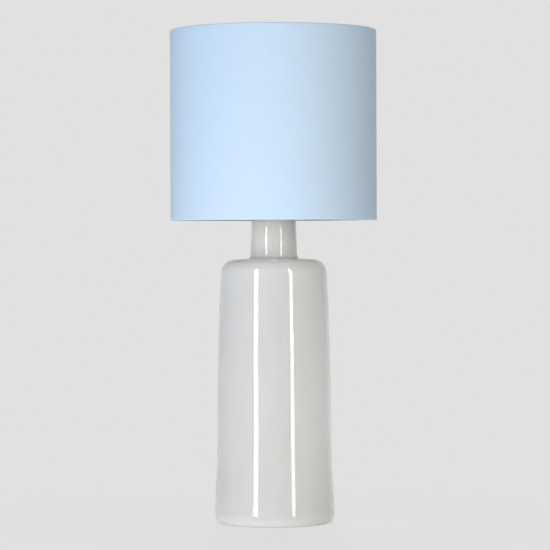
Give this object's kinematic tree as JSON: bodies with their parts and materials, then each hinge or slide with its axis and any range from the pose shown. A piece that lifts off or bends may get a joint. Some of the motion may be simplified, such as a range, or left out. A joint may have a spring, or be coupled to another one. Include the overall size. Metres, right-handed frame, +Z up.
{
  "type": "table lamp",
  "caption": "Table lamp with a bottle-shaped opal glass base and a straight cloth drum shade on a push-bar screw lampholder.",
  "frame": {"origin": "on the table under the lamp's axis, at the lower face of the felt pad", "axes": "+Z up along the lamp's axis, front towards -Y, cord entry towards +Y"},
  "size_m": [0.25, 0.25, 0.5965],
  "materials": {
    "opal_glass": "pale grey opal glass, fire polished",
    "felt": "grey felt",
    "clear_rubber": "soft pale rubber",
    "black_rubber": "matte black rubber",
    "zinc_steel": "zinc plated",
    "brass": "plain brass",
    "nickel": "satin nickel plate",
    "white_plastic": "white moulded thermoset",
    "porcelain": "unglazed white porcelain",
    "bulb_glass": "opal white glass",
    "bulb_metal": "bright rolled metal",
    "black_glass": "black vitrified insulator",
    "solder": "solder button",
    "blue_cloth": "pale blue fine plain weave",
    "white_lining": "white laminated lining",
    "white_wire": "white powder coat"
  },
  "bodies": {
    "base": {"glass_body": "opal_glass", "felt_pad": "felt", "cord_bush": "clear_rubber", "neck_plug": "black_rubber", "plug_washer": "zinc_steel", "plug_nut": "brass", "threaded_rod": "brass", "neck_gasket": "black_rubber", "neck_cap": "nickel", "lock_nut": "brass", "holder_cap": "white_plastic", "holder_grub_screw": "zinc_steel", "contact_block": "porcelain", "terminal_screws": "brass", "centre_contact": "brass", "screw_shell": "brass", "holder_skirt": "white_plastic", "lower_shade_ring": "white_plastic"},
    "switch": {"switch_bar": "white_plastic"},
    "retaining_ring": {"upper_shade_ring": "white_plastic"},
    "bulb": {"bulb_globe": "bulb_glass", "bulb_cap": "bulb_metal", "bulb_insulator": "black_glass", "bulb_contact": "solder"},
    "shade": {"shade_fabric": "blue_cloth", "shade_lining": "white_lining", "top_ring": "white_wire", "bottom_ring": "white_wire", "spider_arms": "white_wire", "fitter_ring": "white_wire"}
  },
  "joints": [
    {"name": "switch_push", "type": "slide", "parent": "base", "child": "switch", "axis": [1, 0, 0], "range_m": [0, 0.008]},
    {"name": "ring_unscrew", "type": "slide", "parent": "base", "child": "retaining_ring", "axis": [0, 0, 1], "range_m": [0, 0.015]},
    {"name": "bulb_lift", "type": "slide", "parent": "base", "child": "bulb", "axis": [0, 0, 1], "range_m": [0, 0.19]},
    {"name": "shade_turn", "type": "hinge", "parent": "base", "child": "shade", "pos_m": [0, 0, 0.419], "axis": [0, 0, 1], "continuous": true}
  ]
}
